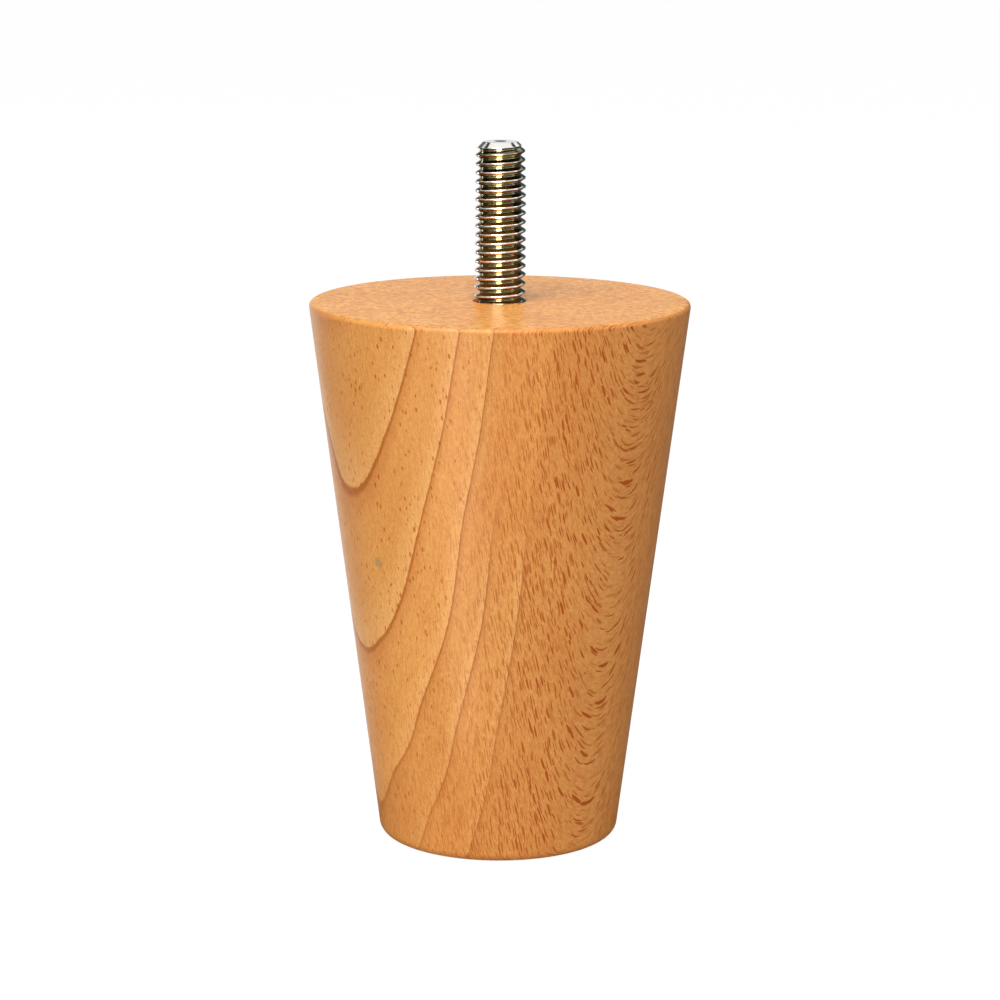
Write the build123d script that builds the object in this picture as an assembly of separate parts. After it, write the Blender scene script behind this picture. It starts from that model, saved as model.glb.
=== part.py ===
from build123d import *
from math import radians, tan
import os

# Tapered round wooden furniture leg with a threaded stud in its top.
# All sizes are in millimetres. The leg stands on its foot at z = 0, and its axis is the Z axis.

# Turned leg: the two diameters are those of the sharp cone, before its edges are rounded
LEG_HEIGHT = 99.0
TOP_DIAMETER = 69.0
FOOT_DIAMETER = 43.7
TOP_EDGE_ROUND = 0.8
FOOT_EDGE_ROUND = 2.0

# Stud: a machine thread outside the wood, a pointed wood-screw end inside it
STUD_LENGTH = 63.5
STUD_PROJECTION = 28.7
THREAD_DIAMETER = 9.3
SHANK_DIAMETER = 8.4
TIP_CHAMFER = 1.5
DIMPLE_DIAMETER = 2.7
DIMPLE_DEPTH = 0.3
POINT_LENGTH = 8.0
POINT_DIAMETER = 1.6
POINT_ROUND = 0.5

# Blind pilot hole that holds the buried end of the stud
HOLE_CLEARANCE = 0.05
HOLE_SPARE_DEPTH = 2.5
DRILL_POINT_ANGLE = 118.0
MOUTH_CLEARANCE = 0.3
MOUTH_DEPTH = 0.8

BURIED_LENGTH = STUD_LENGTH - STUD_PROJECTION


def turned(points, rounds):
    """A solid of revolution about Z.

    points is the half section as (radius, height) pairs, from the axis round to the axis.
    rounds maps the number of a corner in points to the radius of its edge.
    """
    half_section = Polygon(*points, align=None)
    for corner, radius in rounds.items():
        at_corner = half_section.vertices().sort_by_distance((*points[corner], 0))[0]
        half_section = fillet(at_corner, radius)
    return revolve(Plane.XZ * half_section, Axis.Z)


def pilot_hole():
    """The drilled hole: an eased mouth, a straight wall and the cone that a drill leaves."""
    radius = SHANK_DIAMETER / 2 + HOLE_CLEARANCE
    mouth_radius = THREAD_DIAMETER / 2 + MOUTH_CLEARANCE
    cone_length = radius / tan(radians(DRILL_POINT_ANGLE / 2))
    bottom = LEG_HEIGHT - BURIED_LENGTH - HOLE_SPARE_DEPTH - cone_length
    return turned(
        [
            (0, bottom),
            (radius, bottom + cone_length),
            (radius, LEG_HEIGHT - MOUTH_DEPTH),
            (mouth_radius, LEG_HEIGHT),
            (0, LEG_HEIGHT),
        ],
        rounds={},
    )


def leg_body():
    """One piece of solid wood, turned to a straight taper, with its edges rounded over."""
    cone = turned(
        [
            (0, 0),
            (FOOT_DIAMETER / 2, 0),
            (TOP_DIAMETER / 2, LEG_HEIGHT),
            (0, LEG_HEIGHT),
        ],
        rounds={1: FOOT_EDGE_ROUND, 2: TOP_EDGE_ROUND},
    )
    return cone - pilot_hole()


def threaded_stud():
    """The stud at the size over its thread outside the wood, and at the size of its shank inside."""
    thread_radius = THREAD_DIAMETER / 2
    shank_radius = SHANK_DIAMETER / 2
    tip = LEG_HEIGHT + STUD_PROJECTION
    point = LEG_HEIGHT - BURIED_LENGTH
    return turned(
        [
            (0, point),
            (POINT_DIAMETER / 2, point),
            (shank_radius, point + POINT_LENGTH),
            (shank_radius, LEG_HEIGHT),
            (thread_radius, LEG_HEIGHT),
            (thread_radius, tip - TIP_CHAMFER),
            (thread_radius - TIP_CHAMFER, tip),
            (DIMPLE_DIAMETER / 2, tip),
            (0, tip - DIMPLE_DEPTH),
        ],
        rounds={1: POINT_ROUND},
    )


os.makedirs("parts", exist_ok=True)
for name, solid in {"leg_body": leg_body(), "threaded_stud": threaded_stud()}.items():
    export_step(solid, f"parts/{name}.step")
    print(name, round(solid.volume), "mm3", solid.bounding_box())
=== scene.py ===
# %% [markdown]
# A short wooden furniture leg: a tapered round of lacquered beech that stands on its narrow end,
# with a threaded steel stud in its wide end. It is two pieces, and both are bodies that turn
# about one upright axis. The imported frame gives their places, so we load it first and keep its
# box.

# %% Load the frame
import math

import bpy
import numpy as np
from mathutils import Matrix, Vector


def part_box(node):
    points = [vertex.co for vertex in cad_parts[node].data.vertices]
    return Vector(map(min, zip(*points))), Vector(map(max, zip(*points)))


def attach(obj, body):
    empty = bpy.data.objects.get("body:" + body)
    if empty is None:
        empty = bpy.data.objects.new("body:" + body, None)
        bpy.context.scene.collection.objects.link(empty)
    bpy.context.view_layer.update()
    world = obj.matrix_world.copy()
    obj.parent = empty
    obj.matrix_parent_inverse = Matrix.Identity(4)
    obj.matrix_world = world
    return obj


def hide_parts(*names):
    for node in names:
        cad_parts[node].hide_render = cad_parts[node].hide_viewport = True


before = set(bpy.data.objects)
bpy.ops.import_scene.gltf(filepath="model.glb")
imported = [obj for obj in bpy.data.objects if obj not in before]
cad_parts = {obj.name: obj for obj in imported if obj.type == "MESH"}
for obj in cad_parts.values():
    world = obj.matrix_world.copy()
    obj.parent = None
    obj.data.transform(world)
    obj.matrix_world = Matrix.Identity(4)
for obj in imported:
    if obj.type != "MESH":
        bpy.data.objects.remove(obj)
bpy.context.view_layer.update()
MM = 0.001
leg_box, stud_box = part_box("leg_body"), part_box("threaded_stud")
LEG_TOP = leg_box[1][2] / MM
STUD_TIP, STUD_POINT = stud_box[1][2] / MM, stud_box[0][2] / MM
print("leg height", LEG_TOP, "mm, stud from", STUD_POINT, "to", STUD_TIP, "mm")

# %% [markdown]
# Everything in this lesson that turns about the axis starts as a half section: a list of
# radius and height pairs. Corners that the real piece has rounded are replaced by arcs. A
# bevel modifier could round them too, but an arc worked out from its radius keeps the exact size,
# and it lets us add a row of points on each side that keeps the flat faces shading flat.

# %% Half sections with rounded corners
SUPPORT = 0.25


def arc_at(before, corner, after, radius, steps):
    """Points on the arc that rounds a corner.

    The arc touches both straight sides at radius x tan(turn / 2) from the corner. Its centre lies
    on the line that halves the corner, and its points are evenly spaced in angle.
    """
    back, on = before - corner, after - corner
    back, on = back / np.linalg.norm(back), on / np.linalg.norm(on)
    half = np.arccos(np.clip(back @ on, -1, 1)) / 2
    reach = radius / np.tan(half)
    middle = (back + on) / np.linalg.norm(back + on)
    centre = corner + middle * radius / np.sin(half)
    start, end = corner + back * reach - centre, corner + on * reach - centre
    share = np.linspace(0, 1, steps + 1)[:, None]
    swing = np.arccos(np.clip(start @ end / radius**2, -1, 1))
    points = (np.sin((1 - share) * swing) * start + np.sin(share * swing) * end) / np.sin(swing)
    support = [corner + side * (reach + SUPPORT) for side in (back, on)]
    return np.vstack([support[0], centre + points, support[1]])


def half_section(points, rounds, steps=10):
    """Radius and height rows of a half section, with an arc at each corner named in rounds."""
    points = np.array(points, float)
    rows = []
    for index, corner in enumerate(points):
        if index in rounds:
            rows.append(arc_at(points[index - 1], corner, points[index + 1], rounds[index], steps))
        else:
            rows.append(corner[None])
    return np.vstack(rows)


# %% [markdown]
# A turned piece is one grid: rows along its half section, columns round the axis. The two ends
# lie on the axis and become single points, so the mesh is closed and has no pinched squares.
# Blender's Spin tool does much the same, but a grid in numpy can also change its radius with the
# angle, which is what a screw thread needs.

# %% Grid to closed mesh
def turned_mesh(name, rows, segments, radius_at=None, sharp_rows=()):
    """A closed mesh from half-section rows whose first and last row lie on the axis.

    A point is (radius x cos angle, radius x sin angle, height), and radius_at, where it is given,
    works out the radius from the grids of angle, height and the section's own radius.
    """
    angle = np.arange(segments) * 2 * np.pi / segments
    ring = rows[1:-1]
    turn, height = np.meshgrid(angle, ring[:, 1])
    radius = np.repeat(ring[:, :1], segments, axis=1)
    if radius_at is not None:
        radius = radius_at(turn, height, radius)
    grid = np.stack([radius * np.cos(turn), radius * np.sin(turn), height], axis=-1)
    poles = np.array([[0, 0, rows[0, 1]], [0, 0, rows[-1, 1]]])
    vertices = np.vstack([grid.reshape(-1, 3), poles]) * MM

    number = np.arange(len(ring) * segments).reshape(len(ring), segments)
    beside = np.roll(number, -1, axis=1)
    quads = np.stack([number[:-1], beside[:-1], beside[1:], number[1:]], axis=-1).reshape(-1, 4)
    first, last = len(vertices) - 2, len(vertices) - 1
    start_fan = np.stack([beside[0], number[0], np.full(segments, first)], axis=-1)
    end_fan = np.stack([number[-1], beside[-1], np.full(segments, last)], axis=-1)

    mesh = bpy.data.meshes.new(name)
    mesh.from_pydata(vertices.tolist(), [], quads.tolist() + start_fan.tolist() + end_fan.tolist())
    mesh.polygons.foreach_set("use_smooth", np.ones(len(mesh.polygons), bool))
    ends = np.zeros(len(mesh.edges) * 2, int)
    mesh.edges.foreach_get("vertices", ends)
    row_of = ends.reshape(-1, 2) // segments
    is_sharp = (row_of[:, 0] == row_of[:, 1]) & np.isin(row_of[:, 0], np.array(sharp_rows) - 1)
    sharp = mesh.attributes.new("sharp_edge", "BOOLEAN", "EDGE")
    sharp.data.foreach_set("value", is_sharp)
    mesh.validate()
    piece = bpy.data.objects.new(name, mesh)
    bpy.context.scene.collection.objects.link(piece)
    print(name, len(mesh.vertices), "points", len(mesh.polygons), "faces")
    return piece, radius


# %% [markdown]
# The leg itself was turned on a lathe from one block. Its side is a straight taper, its top edge
# is barely eased and its foot has a larger round. The blind hole for the stud is part of the same
# section: an eased mouth, a straight wall and the cone that a drill leaves. The frame's node has
# this shape already, in flat facets; we turn it again with more segments so that the lacquer
# carries clean highlights.

# %% The turned leg
TOP_RADIUS = 34.5
FOOT_RADIUS = 21.85
TOP_ROUND = 0.8
FOOT_ROUND = 2.0
MOUTH_RADIUS = 4.95
MOUTH_DEPTH = 0.8
HOLE_RADIUS = 4.25
HOLE_BOTTOM = STUD_POINT - 2.5
DRILL_HALF_ANGLE = math.radians(59)
LEG_SEGMENTS = 288
SIDE_ROWS = 40

drill_cone = HOLE_RADIUS / math.tan(DRILL_HALF_ANGLE)
leg_rows = half_section(
    [
        (0, 0),
        (FOOT_RADIUS, 0),
        (TOP_RADIUS, LEG_TOP),
        (MOUTH_RADIUS + SUPPORT, LEG_TOP),
        (MOUTH_RADIUS, LEG_TOP),
        (HOLE_RADIUS, LEG_TOP - MOUTH_DEPTH),
        (HOLE_RADIUS, HOLE_BOTTOM),
        (0, HOLE_BOTTOM - drill_cone),
    ],
    rounds={1: FOOT_ROUND, 2: TOP_ROUND},
)
side_start = int(np.argmax(np.diff(leg_rows[:, 1])))
side = np.linspace(leg_rows[side_start], leg_rows[side_start + 1], SIDE_ROWS + 1)[1:-1]
leg_rows = np.vstack([leg_rows[: side_start + 1], side, leg_rows[side_start + 1 :]])
mouth_rows = range(len(leg_rows) - 4, len(leg_rows) - 1)
turned_leg, _ = turned_mesh("turned_leg", leg_rows, LEG_SEGMENTS, sharp_rows=mouth_rows)
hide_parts("leg_body")
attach(turned_leg, "root")

# %% [markdown]
# The stud's thread is a rolled 3/8 inch one, sixteen turns to the inch. A thread can be made with
# the Screw modifier, but its ends then need cutting and closing by hand. Here the radius is a
# function of angle and height: the distance to the nearest crest of the helix says how deep the
# groove is, and the chamfered end simply takes the smaller of the two radii, as a cutting tool
# does. The crests grow over the first few turns, as they do on rolled studs.

# %% Thread shape
PITCH = 1.5875
CREST_RADIUS = 4.65
THREAD_DEPTH = 0.974
CREST_PHASE = 0.395
CREST_HALF_WIDTH = 0.085
ROOT_HALF_WIDTH = 0.05
CORNER_SOFTNESS = 0.09
STARTING_TURNS = 7.0
STARTING_LOSS = 0.26
STARTING_CURVE = 1.6
WOOD_PITCH = 3.2
WOOD_DEPTH = 1.05
WOOD_CREST_HALF_WIDTH = 0.03
WOOD_ROOT_HALF_WIDTH = 0.25
WOOD_SOFTNESS = 0.05
WOOD_CORE_RADIUS = 0.9
SHANK_RADIUS = 4.2
NECK_LENGTH = 5.0
TOUCHING = 0.01


def soft_limit(value, softness):
    """Limits value to 0 and 1, with rounded corners: a soft step up minus a soft step above 1."""
    rise = np.sqrt(value**2 + softness**2)
    over = np.sqrt((value - 1) ** 2 + softness**2)
    return (rise - over + 1) / 2


def groove(turn, height, pitch, phase, crest_half, root_half, softness):
    """How deep in the groove a point is, from 0 on the crest to 1 at the root.

    The helix rises one pitch a turn, anticlockwise seen from above, which is right-handed. The
    distance to the nearest crest, in pitches, runs from 0 to a half, and the flank is the
    straight stretch of it between the crest's and the root's half widths.
    """
    place = height / pitch - turn / (2 * np.pi) - phase
    distance = np.abs(place - np.round(place))
    return soft_limit((distance - crest_half) / (0.5 - crest_half - root_half), softness)


def stud_radius(turn, height, section):
    """The section's radius, or the thread's where that is smaller.

    A crest falls short of its full radius by STARTING_LOSS x (1 - share)^STARTING_CURVE, where
    the share grows from 0 at the tip to 1 after the starting turns. The groove's depth comes off
    that. In the wood the depth is also held to the room left round the point's core.
    """
    from_tip = (STUD_TIP - height) / (STARTING_TURNS * PITCH)
    crest = CREST_RADIUS - STARTING_LOSS * np.clip(1 - from_tip, 0, 1) ** STARTING_CURVE
    depth = groove(
        turn, height, PITCH, CREST_PHASE, CREST_HALF_WIDTH, ROOT_HALF_WIDTH, CORNER_SOFTNESS
    )
    machine = crest - depth * (crest - CREST_RADIUS + THREAD_DEPTH)
    bite = groove(
        turn, height, WOOD_PITCH, 0, WOOD_CREST_HALF_WIDTH, WOOD_ROOT_HALF_WIDTH, WOOD_SOFTNESS
    )
    room = np.clip((section - WOOD_CORE_RADIUS) / WOOD_DEPTH, 0, 1)
    in_wood = section - WOOD_DEPTH * bite * room
    screw_end = height < LEG_TOP - NECK_LENGTH
    outside = height > LEG_TOP - TOUCHING
    return np.where(outside, np.minimum(section, machine), np.where(screw_end, in_wood, section))


# %% [markdown]
# The stud's rows are close together along the thread, about thirty to a turn, so that each crest
# is a rounded ridge and catches a thin, steady highlight. The end has its 45 degree chamfer and
# the shallow dimple that the cut-off and rolling leave. The buried end is there as well, with its
# coarse wood-screw thread and its point, because the finished piece should be whole when it is
# taken out of the wood.

# %% The stud
TIP_CHAMFER = 1.5
TIP_EASE = 0.15
DIMPLE_RADIUS = 1.35
DIMPLE_DEPTH = 0.3
POINT_RADIUS = 0.8
POINT_LENGTH = 8.0
STUD_SEGMENTS = 96
NECK_ROWS = 4
TIP_STEPS = 5
ROWS_PER_TURN = 32
WOOD_ROWS_PER_TURN = 24

screw_start = LEG_TOP - NECK_LENGTH
outside_rows = int((STUD_TIP - TIP_CHAMFER - LEG_TOP) / PITCH * ROWS_PER_TURN)
screw_rows = int((screw_start - STUD_POINT - POINT_LENGTH) / WOOD_PITCH * WOOD_ROWS_PER_TURN)
point_rows = int(POINT_LENGTH / WOOD_PITCH * WOOD_ROWS_PER_TURN)
chamfer_rows = int(TIP_CHAMFER / PITCH * ROWS_PER_TURN * math.sqrt(2))


def straight(start, end, count):
    """Rows evenly spaced on the line from start to end, without its end."""
    return np.linspace(start, end, count, endpoint=False)


tip_rows = half_section(
    [
        (CREST_RADIUS, STUD_TIP - TIP_CHAMFER),
        (CREST_RADIUS - TIP_CHAMFER, STUD_TIP),
        (DIMPLE_RADIUS, STUD_TIP),
        (0, STUD_TIP - DIMPLE_DEPTH),
    ],
    rounds={1: TIP_EASE, 2: DIMPLE_RADIUS / 3},
    steps=TIP_STEPS,
)
stud_rows = np.vstack(
    [
        [[0, STUD_POINT]],
        straight((POINT_RADIUS, STUD_POINT), (SHANK_RADIUS, STUD_POINT + POINT_LENGTH), point_rows),
        straight((SHANK_RADIUS, STUD_POINT + POINT_LENGTH), (SHANK_RADIUS, screw_start), screw_rows),
        straight((SHANK_RADIUS, screw_start), (SHANK_RADIUS, LEG_TOP), NECK_ROWS),
        straight((CREST_RADIUS, LEG_TOP), (CREST_RADIUS, STUD_TIP - TIP_CHAMFER), outside_rows),
        straight(tip_rows[0], tip_rows[1], chamfer_rows),
        tip_rows[1:],
    ]
)
hanger_stud, stud_radii = turned_mesh("hanger_stud", stud_rows, STUD_SEGMENTS, stud_radius)
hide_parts("threaded_stud")
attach(hanger_stud, "root")

# %% [markdown]
# The plate looks different on the crests, the flanks and the roots, so the mesh carries two maps
# that its material reads. One is the depth in the thread, from 0 on a crest to 1 at a root. The
# other is how far a point lies above the nearest crest, in pitches: positive on the flank that
# faces up and negative on the one that faces down. Where there is no thread both stay neutral.

# %% Maps of the thread
NO_CREST = 0.4
turn, height = np.meshgrid(np.arange(STUD_SEGMENTS) / STUD_SEGMENTS, stud_rows[1:-1, 1])
above_crest = height / PITCH - turn - CREST_PHASE
above_crest = above_crest - np.round(above_crest)
no_thread = (height < LEG_TOP) | (stud_radii > stud_rows[1:-1, :1] - TOUCHING)
above_crest[no_thread] = NO_CREST
depth_in_thread = np.clip((CREST_RADIUS - stud_radii) / THREAD_DEPTH, 0, 1)
depth_in_thread[no_thread] = 0
for name, values in (("groove", depth_in_thread), ("off_crest", above_crest)):
    point_map = hanger_stud.data.attributes.new(name, "FLOAT", "POINT")
    point_map.data.foreach_set("value", np.append(values, [0, NO_CREST]).astype(np.float32))

# %% [markdown]
# The finishes are node materials, and they are easier to read as short sums than as lists of
# links. This helper adds a node or two per call and hands back the socket the next call needs.
# All patterns read Object coordinates, turned into millimetres, so a number in a material is a
# size on the real piece.

# %% A small helper for node materials
class Nodes:
    """Adds nodes to one material or world, and returns their outputs."""

    def __init__(self, owner, output="ShaderNodeOutputMaterial"):
        owner.use_nodes = True
        self.tree = owner.node_tree
        self.tree.nodes.clear()
        self.output = self.tree.nodes.new(output)

    def add(self, kind, inputs=(), **settings):
        """A node of this kind, with its settings and its inputs, which are numbers or sockets."""
        node = self.tree.nodes.new("ShaderNode" + kind)
        for key, value in settings.items():
            setattr(node, key, value)
        for key, value in dict(inputs).items():
            if isinstance(value, bpy.types.NodeSocket):
                self.tree.links.new(value, node.inputs[key])
            elif value is not None:
                node.inputs[key].default_value = value
        return node

    def object_places(self):
        """The Object coordinates in millimetres, their three axes, and how far up a face looks."""
        coordinates = self.add("TexCoord").outputs
        place = self.vector("SCALE", coordinates["Object"], scale=1 / MM)
        axes = tuple(self.add("SeparateXYZ", {0: place}).outputs)
        upright = self.add("SeparateXYZ", {0: coordinates["Normal"]}).outputs[2]
        return place, axes, upright

    def math(self, operation, a, b=None, c=None):
        """A sum on one, two or three numbers or sockets."""
        inputs = {0: a, 1: b, 2: c}
        return self.add("Math", inputs, operation=operation).outputs[0]

    def vector(self, operation, a, b=None, scale=None):
        """A sum on vectors, whose result is a number for a length or a distance."""
        inputs = {0: a, 1: b, "Scale": scale}
        node = self.add("VectorMath", inputs, operation=operation)
        return node.outputs["Value" if operation in ("LENGTH", "DISTANCE") else "Vector"]

    def join(self, x=0.0, y=0.0, z=0.0):
        """A vector from its three parts."""
        return self.add("CombineXYZ", {0: x, 1: y, 2: z}).outputs[0]

    def over(self, axes, sizes):
        """A vector of the axes, each divided by its own size."""
        return self.join(*(self.math("DIVIDE", axis, size) for axis, size in zip(axes, sizes)))

    def noise(self, axes, sizes, detail=2.0, roughness=0.5):
        """Cloudy noise about 0.5, whose patches have these sizes along the axes."""
        inputs = {"Vector": self.over(axes, sizes), "Detail": detail, "Roughness": roughness}
        return self.add("TexNoise", {"Scale": 1.0, **inputs}).outputs["Fac"]

    def swing(self, noise, width):
        """Noise turned into a shift: half the width to either side of 0."""
        return self.math("MULTIPLY_ADD", noise, width, -width / 2)

    def step(self, value, low, high, out_low=0.0, out_high=1.0):
        """A smooth step from out_low, where value is low, to out_high, where it is high."""
        inputs = {"Value": value, "From Min": low, "From Max": high}
        inputs.update({"To Min": out_low, "To Max": out_high})
        return self.add("MapRange", inputs, interpolation_type="SMOOTHSTEP").outputs["Result"]

    def mix(self, share, a, b):
        """Colour a, changed into colour b as the share goes from 0 to 1."""
        node = self.add("Mix", {"Factor": share}, data_type="RGBA")
        for slot, value in ((6, a), (7, b)):
            if isinstance(value, bpy.types.NodeSocket):
                self.tree.links.new(value, node.inputs[slot])
            else:
                node.inputs[slot].default_value = value
        return node.outputs[2]

    def ramp(self, value, stops):
        """The colours of a ramp whose stops are pairs of a place and a colour."""
        node = self.add("ValToRGB", {"Fac": value})
        elements = node.color_ramp.elements
        for index, (place, colour) in enumerate(stops):
            element = elements[index] if index < 2 else elements.new(place)
            element.position, element.color = place, colour
        return node.outputs["Color"]

    def shade(self, shader):
        """Puts the finished shader on the output."""
        self.tree.links.new(shader, self.output.inputs["Surface"])


# %% [markdown]
# Beech is easy to recognise: soft growth rings that are pale on one side and end in a thin
# darker line, and thousands of little brown flecks. A flat picture of grain would be wrong on a
# cone, so the wood is described as a solid. The rings are tubes about the pith, which lay outside
# this piece, behind it on the right. The taper of the leg cuts them into long U shapes.

# %% Places in the tree
RING_PITH = (38.0, math.radians(116))
RAY_PITH = (92.0, math.radians(118))


def from_pith(nodes, axes, pith):
    """How far a point is from the pith, and how far round it, both in millimetres.

    The way round is the angle times the pith's distance from the leg's axis, so it is nearly true
    to size inside the leg.
    """
    distance, bearing = pith
    pith_x, pith_y = distance * math.sin(bearing), -distance * math.cos(bearing)
    back_x, back_y = nodes.math("SUBTRACT", pith_x, axes[0]), nodes.math("SUBTRACT", pith_y, axes[1])
    away = nodes.vector("LENGTH", nodes.join(back_x, back_y))
    turn = nodes.math("ARCTAN2", back_y, back_x)
    return away, nodes.math("MULTIPLY", turn, distance)


# %% [markdown]
# The ring pattern needs the number of rings between the pith and a point. Real rings aren't
# equally wide, so a float curve holds the radius of each ring's edge and turns a distance into a
# ring count. The rings aren't quite round either: noise makes them wander, and a few smooth bends
# push them in or out where the trunk did. Each bend is a centre, a reach and a shift.

# %% Distance and number of the rings
RING_SPAN = 38.0
RING_EDGES = (
    (-33.0, -29.2, -25.6, -21.6, -18.1, -14.4, -10.2, -6.6, -2.6, 1.2)
    + (4.8, 8.6, 12.6, 16.9, 20.6, 23.4, 26.63, 30.25, 34.6)
)
RING_BENDS = (
    ((-32.0, -2.8, 80.0), 24.0, -1.33),
    ((-0.5, -27.6, 45.0), 24.0, 0.86),
    ((-21.8, -1.9, 0.0), 24.0, 1.67),
    ((13.6, -19.5, 15.0), 34.0, 1.39),
    ((6.6, -33.9, 99.0), 24.0, -0.82),
    ((-16.5, -14.3, 0.0), 24.0, -0.73),
)
WANDER_SIZES, WANDER_WIDTH = (9, 9, 40), 0.3
FEATHER_SIZES, FEATHER_WIDTH = (0.35, 0.35, 1.5), 0.12


def ring_distance(nodes, place, axes):
    """How much farther than the leg's axis a point lies from the rings' pith, in millimetres."""
    away, _ = from_pith(nodes, axes, RING_PITH)
    wander = nodes.swing(nodes.noise(axes, WANDER_SIZES), WANDER_WIDTH)
    feather = nodes.swing(nodes.noise(axes, FEATHER_SIZES), FEATHER_WIDTH)
    away = nodes.math("ADD", away, nodes.math("ADD", wander, feather))
    for centre, reach, shift in RING_BENDS:
        far = nodes.vector("DISTANCE", place, centre)
        away = nodes.math("ADD", away, nodes.step(far, reach, 0.0, 0.0, shift))
    return nodes.math("SUBTRACT", away, RING_PITH[0])


def share_of_span(distance):
    """Where a distance lies between -RING_SPAN and RING_SPAN, as a share from 0 to 1."""
    return 0.5 + distance * 0.5 / RING_SPAN


def ring_count(nodes, share):
    """The number of ring edges passed at a share of the span, with its fraction."""
    curve = nodes.add("FloatCurve", {"Value": share})
    points = curve.mapping.curves[0].points
    last = len(RING_EDGES) - 1
    for number, edge in enumerate(RING_EDGES):
        spot = (share_of_span(edge), number / last)
        if number in (0, last):
            points[-1 if number else 0].location = spot
        else:
            points.new(*spot)
    for point in points:
        point.handle_type = "VECTOR"
    curve.mapping.update()
    return nodes.math("MULTIPLY", curve.outputs[0], last)


# %% [markdown]
# The fraction of the ring count says where in its ring a point is, and one colour ramp paints
# every ring: pale where the year began, browner towards its end, then a thin dark line. The rings
# on the pith's side are faint and the wood there is redder. Some of the lines also fade out
# towards the top, and all of them are softer near the foot, as on the real leg. A second ramp
# makes whole bands of rings a little lighter or darker.

# %% Ring colours
LIGHT_WOOD = (0.88, 0.43, 0.125, 1)
MIDDLE_WOOD = (0.80, 0.345, 0.080, 1)
INNER_WOOD = (0.81, 0.318, 0.070, 1)
DARK_WOOD = (0.72, 0.275, 0.058, 1)
LINE_WOOD = (0.52, 0.150, 0.020, 1)
RING_STOPS = (
    (0.0, LIGHT_WOOD),
    (0.32, MIDDLE_WOOD),
    (0.78, MIDDLE_WOOD),
    (0.94, DARK_WOOD),
    (0.968, LINE_WOOD),
    (0.988, LINE_WOOD),
    (1.0, LIGHT_WOOD),
)
FAINT_RINGS, CLEAR_RINGS, FAINT_SHARE = 11.0, 20.0, 0.08
FADING_RINGS, FADING_HEIGHTS, FADED_SHARE = 22.5, (48.0, 72.0), 0.1
SOFTER_HEIGHTS, SOFTER_SHARE = (5.0, 45.0), 0.55
RINGS_ON_END_GRAIN = 0.4
BAND_TONES = (
    ((-30, 0.98), (10, 0.97), (16.7, 0.97), (17.1, 1.03), (23.2, 1.0))
    + ((23.6, 1.07), (26.4, 1.03), (31, 0.98), (34.5, 0.94))
)


def ring_clearness(nodes, distance, height, end_grain):
    """How clearly the rings show: the product of one share for each thing that fades them."""
    clear = nodes.step(distance, FAINT_RINGS, CLEAR_RINGS, FAINT_SHARE, 1.0)
    fading = nodes.step(height, *FADING_HEIGHTS, 1.0, FADED_SHARE)
    fading = nodes.math("MAXIMUM", fading, nodes.math("GREATER_THAN", distance, FADING_RINGS))
    softer = nodes.step(height, *SOFTER_HEIGHTS, SOFTER_SHARE, 1.0)
    on_end = nodes.math("MULTIPLY_ADD", end_grain, RINGS_ON_END_GRAIN - 1, 1.0)
    for share in (fading, softer, on_end):
        clear = nodes.math("MULTIPLY", clear, share)
    return clear


def ring_colour(nodes, place, axes, end_grain):
    """Colour of the growth rings, and on the end grain a fainter copy of them."""
    distance = ring_distance(nodes, place, axes)
    share = nodes.math("MULTIPLY_ADD", distance, 0.5 / RING_SPAN, 0.5)
    painted = nodes.ramp(nodes.math("FRACT", ring_count(nodes, share)), RING_STOPS)
    clear = ring_clearness(nodes, distance, axes[2], end_grain)
    colour = nodes.mix(clear, INNER_WOOD, painted)
    greys = [(share_of_span(edge), (tone / 2, tone / 2, tone / 2, 1)) for edge, tone in BAND_TONES]
    tone = nodes.math("MULTIPLY", nodes.ramp(share, greys), 2)
    return nodes.vector("SCALE", colour, scale=tone)


# %% [markdown]
# Rays are thin upright sheets that run out from the pith like spokes. Seen edge on they are short
# dark dashes, and where the cone's side runs along them they widen into curved flecks. Both come
# from one solid pattern: flat lens shapes scattered over the distance from the pith, the way
# round it and the height. A Voronoi texture gives each ray its own centre, size and strength.
#
# There are three kinds. Broad and fine rays fill the side that faces the pith, and short ones,
# which are hardly more than dots, the side away from it. Rays are also thinner, so flatter,
# where they are nearest to the pith.

# %% Rays
SHORT_RAYS = dict(cell=(3.2, 0.80, 1.9), flat=2.6, sizes=(0.17, 0.33), seed=57, shares=(0.90, 0.0))
BROAD_RAYS = dict(cell=(3.4, 0.42, 2.4), flat=4.6, sizes=(0.30, 0.70), seed=0, shares=(0.22, 1.0))
FINE_RAYS = dict(cell=(3.3, 0.21, 2.2), flat=4.2, sizes=(0.36, 0.76), seed=31, shares=(0.22, 0.95))
FEW_RAYS, MANY_RAYS = 122.0, 98.0
THICKER_FROM, THICKER_FLAT = (88.0, 101.0), 0.55
RAY_EDGE = 0.7
WEAKEST_RAY, STRONG_RAYS_FROM = 0.3, 0.8
SWAY_SIZES, SWAY_WIDTH = (14, 15, 11), 0.5
RIPPLE_SIZES, RIPPLE_WIDTH = (2.2, 3, 2.5), 0.12


def place_among_rays(nodes, axes):
    """Distance from the pith, way round it and height, with the rays' own slight waves."""
    away, around = from_pith(nodes, axes, RAY_PITH)
    sway = nodes.swing(nodes.noise((away, around, axes[2]), SWAY_SIZES), SWAY_WIDTH)
    ripple = nodes.swing(nodes.noise((away, around, axes[2]), RIPPLE_SIZES), RIPPLE_WIDTH)
    around = nodes.math("ADD", around, nodes.math("ADD", sway, ripple))
    return away, around, axes[2]


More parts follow.
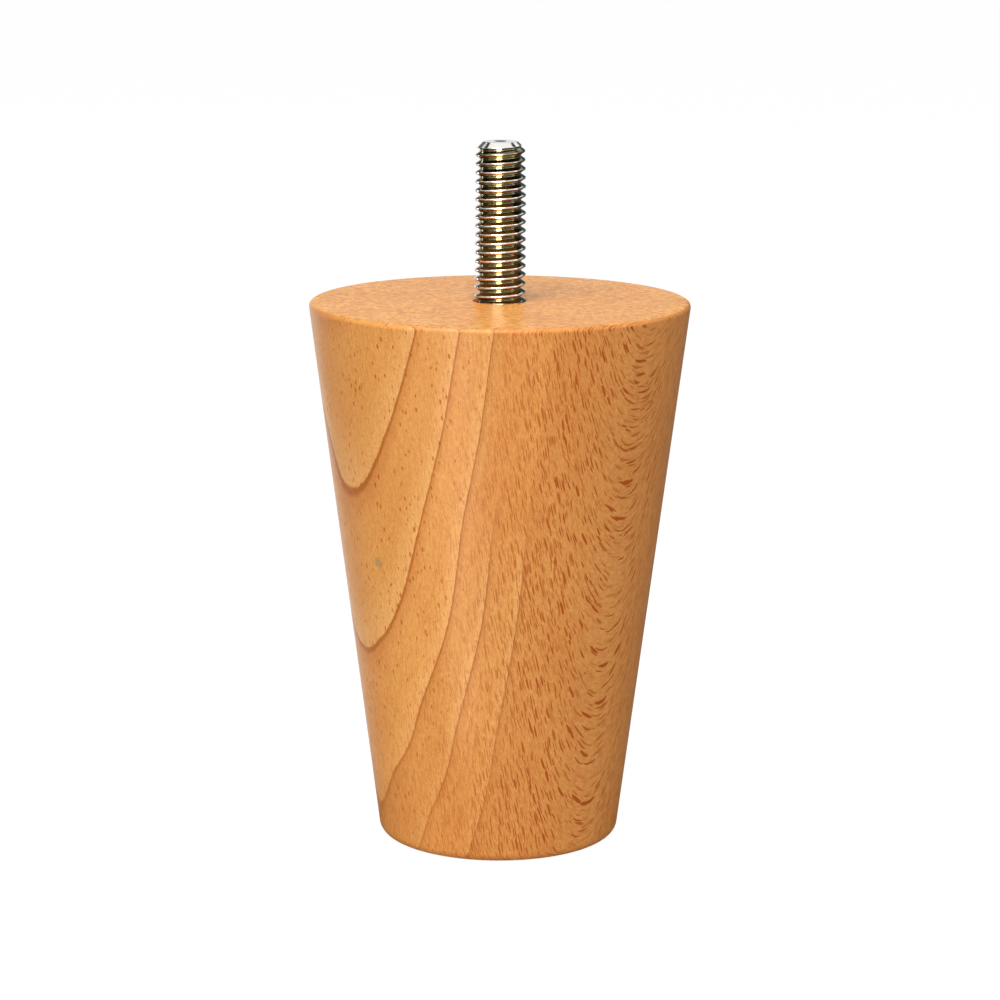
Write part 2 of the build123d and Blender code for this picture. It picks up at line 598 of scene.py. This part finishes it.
def rays(nodes, place, kind):
    """How much of a ray's colour shows at a point, from 0 to 1.

    A ray is where the distance to the centre of its cell, counted in cells and more across the ray
    than along it, is less than the ray's own size.
    """
    shifted = (place[0], nodes.math("ADD", place[1], kind["seed"]), place[2])
    vector = nodes.over(shifted, kind["cell"])
    inputs = {"Vector": vector, "Scale": 1.0, "Randomness": 1.0}
    cell = nodes.add("TexVoronoi", inputs, voronoi_dimensions="3D", feature="F1")
    apart = nodes.vector("SUBTRACT", vector, cell.outputs["Position"])
    flat = nodes.step(place[0], *THICKER_FROM, kind["flat"], THICKER_FLAT * kind["flat"])
    apart = nodes.vector("LENGTH", nodes.vector("MULTIPLY", apart, nodes.join(1, flat, 1)))
    chance = nodes.add("SeparateColor", {"Color": cell.outputs["Color"]})
    least, most = kind["sizes"]
    size = nodes.math("MULTIPLY_ADD", chance.outputs[0], most - least, least)
    shape = nodes.step(nodes.math("DIVIDE", apart, size), 1.0, RAY_EDGE)
    strength = nodes.step(chance.outputs[1], 0.0, STRONG_RAYS_FROM, WEAKEST_RAY, 1.0)
    share = nodes.step(place[0], FEW_RAYS, MANY_RAYS, *kind["shares"])
    return nodes.math("MULTIPLY", share, nodes.math("MULTIPLY", shape, strength))


# %% [markdown]
# Between the rays the wood has tones: broad clouds, fine streaks of fibres that follow the rays,
# and pores. The end grain on top and underneath has none of the streaks. There the cut fibres
# curl, which a sine of smooth noise draws well: its lines run round every hill of the noise.

# %% Tones of the wood
CLOUDS = dict(sizes=(11, 11, 30), detail=3, span=(0.25, 0.75), tones=(0.94, 1.05))
FIBRES = dict(sizes=(1.2, 0.12, 0.9), detail=3, span=(0.3, 0.7), tones=(0.90, 1.10))
PORES = dict(sizes=(0.3, 0.3, 0.4), detail=3, span=(0.3, 0.7), tones=(0.92, 1.08))
MOTTLE = dict(sizes=(1.5, 1.1, 4), detail=5, span=(0.30, 0.70), tones=(0.60, 1.38))
MOTTLE_ROUGHNESS = 0.8
CURL_SIZES = (6.0, 7.0, 6.0)
CURL_LINES = 80.0
CURL_SHARE = 0.055


def tones(nodes, axes, pattern):
    """Noise of a pattern's sizes, turned into tones about 1."""
    noise = nodes.noise(axes, pattern["sizes"], pattern["detail"])
    return nodes.step(noise, *pattern["span"], *pattern["tones"])


def mottled_tones(nodes, axes):
    """Tones of the end grain: rough noise with a share of curls, sin(lines x smooth noise)."""
    bent = nodes.noise(axes, CURL_SIZES)
    curls = nodes.math("SINE", nodes.math("MULTIPLY", bent, CURL_LINES))
    noise = nodes.noise(axes, MOTTLE["sizes"], MOTTLE["detail"], MOTTLE_ROUGHNESS)
    noise = nodes.math("MULTIPLY_ADD", curls, CURL_SHARE, noise)
    return nodes.step(noise, *MOTTLE["span"], *MOTTLE["tones"])


# %% [markdown]
# The beech is put together from the rings, the tones and the rays, and the object-space normal
# says where the end grain is. A darker tone is also redder, so the tone is raised to a small power
# for red and to a large one for blue. One small grey mark was left on the wood, low on the left.
# A satin lacquer lies over it all, so the shader has a coat. The bump is very small, because the
# lacquer has filled the pores.

# %% Lacquered beech
RAY_COLOUR = (0.50, 0.086, 0.001, 1)
END_WOOD = (0.85, 0.370, 0.070, 1)
END_GRAIN_FROM = (0.75, 0.98)
END_WOOD_SHARE = 0.75
RAYS_ON_END_GRAIN = 0.25
TONE_POWERS = (0.6, 1.2, 2.0)
MARK_PLACE = (-21.4, -19.3, 54.7)
MARK_COLOUR = (0.42, 0.26, 0.12, 1)
MARK_RADII, MARK_SHARE = (1.1, 0.4), 0.7
MARK_GRAIN, MARK_RAGGEDNESS = (0.8, 0.8, 0.8), 3.0


def grey_mark(nodes, place, axes, colour):
    """The wood's colour with a small mark, whose edge noise makes ragged."""
    far = nodes.vector("DISTANCE", place, MARK_PLACE)
    ragged = nodes.swing(nodes.noise(axes, MARK_GRAIN, detail=4), MARK_RAGGEDNESS)
    share = nodes.step(nodes.math("ADD", far, ragged), *MARK_RADII, 0.0, MARK_SHARE)
    return nodes.mix(share, colour, MARK_COLOUR)


def lacquered_beech():
    """Solid beech under a clear satin lacquer."""
    material = bpy.data.materials.new("lacquered_beech")
    nodes = Nodes(material)
    place, axes, upright = nodes.object_places()
    end_grain = nodes.step(nodes.math("ABSOLUTE", upright), *END_GRAIN_FROM)
    among = place_among_rays(nodes, axes)

    colour = ring_colour(nodes, place, axes, end_grain)
    colour = nodes.mix(nodes.math("MULTIPLY", end_grain, END_WOOD_SHARE), colour, END_WOOD)
    streaks = nodes.math("MULTIPLY", tones(nodes, axes, PORES), tones(nodes, among, FIBRES))
    mottled = mottled_tones(nodes, axes)
    surface = nodes.add("Mix", {0: end_grain, 2: streaks, 3: mottled}).outputs[0]
    tone = nodes.math("MULTIPLY", tones(nodes, axes, CLOUDS), surface)
    channels = nodes.join(*(nodes.math("POWER", tone, power) for power in TONE_POWERS))
    colour = nodes.vector("MULTIPLY", colour, channels)

    showing = 0.0
    for kind in (FINE_RAYS, BROAD_RAYS, SHORT_RAYS):
        showing = nodes.math("MAXIMUM", showing, rays(nodes, among, kind))
    on_end = nodes.math("MULTIPLY_ADD", end_grain, RAYS_ON_END_GRAIN - 1, 1.0)
    colour = nodes.mix(nodes.math("MULTIPLY", showing, on_end), colour, RAY_COLOUR)
    colour = grey_mark(nodes, place, axes, colour)

    bump = nodes.add("Bump", {"Height": surface, "Strength": 0.15, "Distance": 0.02 * MM})
    inputs = {
        "Base Color": colour,
        "Roughness": 0.42,
        "Specular IOR Level": 0.35,
        "Coat Weight": 0.2,
        "Coat Roughness": nodes.math("MULTIPLY_ADD", end_grain, 0.18, 0.2),
        "Coat IOR": 1.5,
        "Normal": bump.outputs[0],
    }
    nodes.shade(nodes.add("BsdfPrincipled", inputs).outputs[0])
    return material


turned_leg.data.materials.append(lacquered_beech())

# %% [markdown]
# The stud is steel with a bright zinc plate. Zinc is a pale metal, so its colour comes mostly from
# what it reflects. The plate is pale on the crests. The flanks that face down and the roots are
# yellower and darker, which is partly the plate's own yellow tint and partly painted shade in the
# grooves. The flanks that face up get a painted dark shade. A thin copper-brown line just under
# each crest is a painted reflection of the wood. The two maps of the thread say where all this
# is. Close to the wood the plate gets a painted shade too.

# %% Zinc plate
ZINC_CREST = (0.90, 0.88, 0.85, 1)
ZINC_END = (0.46, 0.46, 0.47, 1)
# The flank and root colours are partly the plate's yellow tint and partly painted shade in the
# grooves; the shelf colour between them is painted shade alone.
ZINC_FLANK_TINT_AND_SHADE = (0.46, 0.38, 0.20, 1)
ZINC_PAINTED_SHADE = (0.17, 0.16, 0.12, 1)
ZINC_ROOT_TINT_AND_SHADE = (0.34, 0.32, 0.20, 1)
# A painted reflection of the wood top, for the line just under each crest.
ZINC_PAINTED_WOOD_REFLECTION = (0.48, 0.145, 0.045, 1)
END_FACE_FROM = (0.90, 0.99)
# The painted shade on the flanks that face up starts between these places above a crest.
UP_FLANK_SHADE_FROM = (0.05, 0.10)
ROOT_FROM = (0.60, 0.85)
CREST_TO = (0.06, 0.25)
# Where the painted reflection of the wood lies under each crest, and how ragged its edge is.
REFLECTION_LINE_FROM, REFLECTION_LINE_TO, REFLECTION_LINE_SHARE = (-0.03, -0.07), (-0.26, -0.18), 0.9
REFLECTION_LINE_RAGGEDNESS = 0.08
# Where the painted shade next to the wood's top begins and ends.
SEAT_TOP, SEAT_BOTTOM = (LEG_TOP + 0.4, LEG_TOP + 0.2), (LEG_TOP - 0.8, LEG_TOP - 0.6)
PLATE_GRAIN, PLATE_GRAIN_SPAN = (0.33, 0.33, 0.33), (0.3, 0.75)
PLATE_ROUGHNESS = (0.06, 0.18)


def zinc_colour(nodes, axes, upright, grain):
    """The plate's colour from the maps of the thread: painted shade in the grooves and near the
    wood, and a painted reflection of the wood as a line under each crest, made ragged by grain.
    """
    depth = nodes.add("Attribute", attribute_name="groove").outputs["Fac"]
    off_crest = nodes.add("Attribute", attribute_name="off_crest").outputs["Fac"]
    # Painted shade in the grooves: darkest on the flanks that face up, with the plate's yellow tint
    # on the other flanks and at the roots.
    shaded_groove = nodes.mix(nodes.step(off_crest, *UP_FLANK_SHADE_FROM), ZINC_FLANK_TINT_AND_SHADE, ZINC_PAINTED_SHADE)
    shaded_groove = nodes.mix(nodes.step(depth, *ROOT_FROM), shaded_groove, ZINC_ROOT_TINT_AND_SHADE)
    crest_and_shaded_groove = nodes.mix(nodes.step(depth, *CREST_TO), ZINC_CREST, shaded_groove)
    colour = nodes.mix(nodes.step(upright, *END_FACE_FROM), crest_and_shaded_groove, ZINC_END)
    # A painted reflection of the wood, as a thin line just under each crest.
    under = nodes.math("ADD", off_crest, nodes.swing(grain, REFLECTION_LINE_RAGGEDNESS))
    edge = nodes.math("MULTIPLY", nodes.step(under, *REFLECTION_LINE_FROM), nodes.step(under, *REFLECTION_LINE_TO))
    colour = nodes.mix(nodes.math("MULTIPLY", edge, REFLECTION_LINE_SHARE), colour, ZINC_PAINTED_WOOD_REFLECTION)
    # Painted shade on the plate just above and below the wood's top.
    seat_shade = nodes.math(
        "MULTIPLY", nodes.step(axes[2], *SEAT_TOP), nodes.step(axes[2], *SEAT_BOTTOM)
    )
    return nodes.mix(seat_shade, colour, ZINC_PAINTED_SHADE)


def zinc_plate():
    """Bright zinc on rolled steel."""
    material = bpy.data.materials.new("zinc_plated_steel")
    nodes = Nodes(material)
    _, axes, upright = nodes.object_places()
    grain = nodes.noise(axes, PLATE_GRAIN, detail=4, roughness=0.6)
    bump = nodes.add("Bump", {"Height": grain, "Strength": 0.25, "Distance": 0.03 * MM})
    inputs = {
        "Base Color": zinc_colour(nodes, axes, upright, grain),
        "Metallic": 1.0,
        "Roughness": nodes.step(grain, *PLATE_GRAIN_SPAN, *PLATE_ROUGHNESS),
        "Normal": bump.outputs[0],
    }
    nodes.shade(nodes.add("BsdfPrincipled", inputs).outputs[0])
    return material


hanger_stud.data.materials.append(zinc_plate())

# %% [markdown]
# The floor is a wide pale disc. The background should be nearly white without more light on the
# wood, so the floor and the world answer camera, glossy and transmission rays with their own
# white, and only part of the floor's light comes from the lamps. That part keeps a soft shadow.

# %% Floor and world
FLOOR_RADIUS = 9.0
FLOOR_SEGMENTS = 64
FLOOR_COLOUR = (0.60, 0.60, 0.60, 1)
FLOOR_OWN_SHARE = 0.80
FLOOR_OWN_LIGHT = 1.18
WORLD_LIGHT = 0.38


def seen_directly(nodes):
    """1 for camera, glossy and transmission rays, and 0 for the others."""
    path = nodes.add("LightPath").outputs
    either = nodes.math("MAXIMUM", path["Is Camera Ray"], path["Is Glossy Ray"])
    return nodes.math("MAXIMUM", either, path["Is Transmission Ray"])


def pale_floor():
    """A disc at the foot's level, made of one fan of triangles: (radius x cos, radius x sin, 0)."""
    number = np.arange(FLOOR_SEGMENTS)
    angle = number * 2 * np.pi / FLOOR_SEGMENTS
    rim = np.stack([np.cos(angle), np.sin(angle), np.zeros(len(angle))], axis=-1) * FLOOR_RADIUS
    vertices = np.vstack([rim, [[0, 0, 0]]])
    fan = np.stack([number, np.roll(number, -1), np.full(len(number), len(number))], axis=-1)
    mesh = bpy.data.meshes.new("floor")
    mesh.from_pydata(vertices.tolist(), [], fan.tolist())
    floor = bpy.data.objects.new("floor", mesh)
    bpy.context.scene.collection.objects.link(floor)
    material = bpy.data.materials.new("pale_floor")
    nodes = Nodes(material)
    lit = nodes.add("BsdfDiffuse", {"Color": FLOOR_COLOUR}).outputs[0]
    own = nodes.add("Emission", {"Color": (1, 1, 1, 1), "Strength": FLOOR_OWN_LIGHT}).outputs[0]
    share = nodes.math("MULTIPLY", seen_directly(nodes), FLOOR_OWN_SHARE)
    nodes.shade(nodes.add("MixShader", {0: share, 1: lit, 2: own}).outputs[0])
    mesh.materials.append(material)
    return floor


def white_world():
    """White where it is seen, and a weaker even light on the object."""
    world = bpy.data.worlds.new("studio")
    bpy.context.scene.world = world
    nodes = Nodes(world, "ShaderNodeOutputWorld")
    strength = nodes.math("MULTIPLY_ADD", seen_directly(nodes), 1 - WORLD_LIGHT, WORLD_LIGHT)
    sky = nodes.add("Background", {"Color": (1, 1, 1, 1), "Strength": strength})
    nodes.shade(sky.outputs[0])


pale_floor()
white_world()

# %% [markdown]
# Bright metal only looks like metal when it has something dark to reflect. Photographers stand
# cards round it, dark ones for its outline and bright ones for its highlights. These cards are
# curved walls that only glossy rays can see, so they shape the reflections in the stud and the
# lacquer and throw no shadow. Some lie on the floor as mats. The card behind hangs clear of the
# floor, and the white under it is what the top face and the stud's end reflect.
#
# Three bright cards would also shine where they shouldn't, such as on the top face when it is
# seen from behind. They are clear as well as bright, so nothing behind them goes dark, and light
# linking lets each one light a single piece.

# %% Shapes and shades of the cards
MAT = ((0.0209, 0.0003), (0.45, 0.001))
NEAR_MAT = ((0.0209, 0.0003), (0.25, 0.0006))
FAR_MAT = ((0.25, 0.0006), (0.45, 0.001))
STRIP = ((0.06, 0.002), (0.44, 0.002))
LOW_WALL = ((0.45, 0.001), (0.45, 0.15))
FRONT_WALL = ((0.45, 0.001), (0.45, 0.20))
HIGH_WALL = ((0.45, 0.10), (0.45, 0.36))
UPPER_WALL = ((0.45, 0.56), (0.45, 0.78))
BACK_WALL = ((0.50, 0.25), (0.50, 0.72))
BRIGHT_WALL = ((0.44, 0.005), (0.44, 0.50))
SPOT_WALL = ((0.44, 0.035), (0.44, 0.085))
PALE = (0.80, 0.80, 0.80, 1)
DULL = (0.30, 0.30, 0.28, 1)
DARK = (0.030, 0.030, 0.022, 1)
DIM = (0.46, 0.44, 0.26, 1)
GREY = (0.12, 0.15, 0.15, 1)
BRIGHT = (20.0, 18.5, 15.5, 1)
SPOT = (12.0, 12.5, 15.0, 1)
GLOW = (3.0, 2.9, 2.5, 1)
CARDS = {
    "left_near_mat": ((-145, -100), NEAR_MAT, PALE, DARK),
    "left_far_mat": ((-145, -100), FAR_MAT, DULL, DARK),
    "front_mat": ((-100, 100), MAT, DARK, DARK),
    "right_mat": ((100, 170), MAT, DARK, GREY),
    "left_spot_card": ((-124, -117), SPOT_WALL, SPOT, SPOT),
    "left_low_wall": ((-113, -75), LOW_WALL, DARK, DARK),
    "front_low_wall": ((-75, 62), FRONT_WALL, DIM, DIM),
    "left_high_wall": ((-150, -71), HIGH_WALL, GREY, GREY),
    "left_upper_card": ((-138, -108), UPPER_WALL, DARK, DARK),
    "right_low_wall": ((62, 170), LOW_WALL, DARK, GREY),
    "right_high_wall": ((84, 170), HIGH_WALL, GREY, GREY),
    "right_upper_card": ((112, 140), UPPER_WALL, DARK, DARK),
    "back_card": ((170, 225), BACK_WALL, GREY, GREY),
    "bright_card": ((-21, 5), BRIGHT_WALL, BRIGHT, BRIGHT),
    "front_strip": ((-34, -14), STRIP, GLOW, GLOW),
}
LIT_PIECE = {"bright_card": hanger_stud, "left_spot_card": hanger_stud, "front_strip": turned_leg}
CARD_STEPS = 24


# %% [markdown]
# A card is a grid of two rows, its near or lower edge and its far or upper one, each with points
# evenly spaced in bearing. A bearing of 0 is towards the camera, and it grows to the right.

# %% Cards
def card_mesh(name, bearings, profile):
    """A profile of radius and height carried round the leg, with the share of the way along it.

    A point is (radius x sin bearing, -radius x cos bearing, height).
    """
    bearing = np.radians(np.linspace(*bearings, CARD_STEPS + 1))
    ring = np.stack([np.sin(bearing), -np.cos(bearing), np.zeros(CARD_STEPS + 1)], axis=-1)
    rows = [ring * radius + [0, 0, height] for radius, height in profile]
    number = np.arange(len(profile) * (CARD_STEPS + 1)).reshape(len(profile), -1)
    corners = [number[:-1, :-1], number[:-1, 1:], number[1:, 1:], number[1:, :-1]]
    quads = np.stack(corners, axis=-1).reshape(-1, 4)
    mesh = bpy.data.meshes.new(name)
    mesh.from_pydata(np.vstack(rows).tolist(), [], quads.tolist())
    along = mesh.attributes.new("along", "FLOAT", "POINT")
    along.data.foreach_set("value", np.tile(np.linspace(0, 1, CARD_STEPS + 1), len(profile)))
    return mesh


def glowing(name, first_shade, last_shade, is_clear):
    """A material that gives off the card's shades, and lets light through where it is clear."""
    material = bpy.data.materials.new(name)
    nodes = Nodes(material)
    share = nodes.add("Attribute", attribute_name="along").outputs["Fac"]
    shade = nodes.mix(share, first_shade, last_shade)
    glow = nodes.add("Emission", {"Color": shade, "Strength": 1.0}).outputs[0]
    if is_clear:
        clear = nodes.add("BsdfTransparent").outputs[0]
        glow = nodes.add("AddShader", {0: glow, 1: clear}).outputs[0]
    nodes.shade(glow)
    return material


for name, (bearings, profile, first_shade, last_shade) in CARDS.items():
    card = bpy.data.objects.new(name, card_mesh(name, bearings, profile))
    bpy.context.scene.collection.objects.link(card)
    card.data.materials.append(glowing(name, first_shade, last_shade, name in LIT_PIECE))
    card.visible_camera = False
    card.visible_diffuse = False
    card.visible_shadow = False
    card.visible_transmission = False
    if name in LIT_PIECE:
        lit = bpy.data.collections.new(name)
        lit.objects.link(LIT_PIECE[name])
        card.light_linking.receiver_collection = lit
print(len(CARDS), "cards,", len(LIT_PIECE), "of them for a single piece")

# %% [markdown]
# The light is soft and comes mostly from above, a little to the left: a large overhead box for
# the top face and the crests of the thread, a smaller one in front on the left that lets the cone
# fall away to the right, and a weak one on the right. Each row gives a lamp's name, bearing,
# distance, height, size and power, and each lamp is aimed at the leg.

# %% Lamps
LAMPS = (
    ("overhead_box", -20, 0.45, 0.85, (0.75, 0.5), 6.6),
    ("front_box", -28, 0.90, 0.30, (0.4, 0.4), 1.9),
    ("right_box", 80, 0.90, 0.45, (0.4, 0.4), 0.9),
)
AIM = (0.0, 0.0, 0.07)


def aimed(thing, place, aim):
    """Puts a thing at place, with its -Z axis towards aim and its X axis level."""
    ahead = np.array(aim) - np.array(place)
    ahead = ahead / np.linalg.norm(ahead)
    level = np.cross(ahead, (0, 0, 1))
    level = level / np.linalg.norm(level)
    up = np.cross(level, ahead)
    matrix = np.eye(4)
    matrix[:3] = np.stack([level, up, -ahead, place], axis=-1)
    thing.matrix_world = Matrix(matrix.tolist())


for name, bearing, distance, lamp_height, size, watts in LAMPS:
    light = bpy.data.lights.new(name, "AREA")
    light.shape = "RECTANGLE"
    light.size, light.size_y = size
    light.energy = watts
    lamp = bpy.data.objects.new(name, light)
    bpy.context.scene.collection.objects.link(lamp)
    lamp.visible_camera = False
    sideways, towards = math.sin(math.radians(bearing)), math.cos(math.radians(bearing))
    aimed(lamp, (distance * sideways, -distance * towards, lamp_height), AIM)

# %% [markdown]
# The photograph was taken through a long lens from a little above. These values were worked out
# from the leg's own outline: how far the top's ellipse is open gives the angle, and how much
# the near rim drops gives the distance.

# %% Camera
CAMERA_DISTANCE = 0.5733
CAMERA_HEIGHT = 0.1821
CAMERA_PITCH = math.radians(11.81)
CAMERA_ROLL = 0.0033
FOCAL_SHARE = 3.205
CENTRE_SHIFT = 0.00076

camera_data = bpy.data.cameras.new("camera")
camera_data.sensor_width = 36.0
camera_data.lens = FOCAL_SHARE * camera_data.sensor_width
camera_data.shift_x = CENTRE_SHIFT
camera = bpy.data.objects.new("camera", camera_data)
bpy.context.scene.collection.objects.link(camera)
tilt = Matrix.Rotation(math.pi / 2 - CAMERA_PITCH, 4, "X") @ Matrix.Rotation(CAMERA_ROLL, 4, "Z")
camera.matrix_world = Matrix.Translation((0.0, -CAMERA_DISTANCE, CAMERA_HEIGHT)) @ tilt
bpy.context.view_layer.update()
bpy.context.scene.camera = camera

# %% Finish
bpy.context.scene.view_settings.view_transform = "Standard"
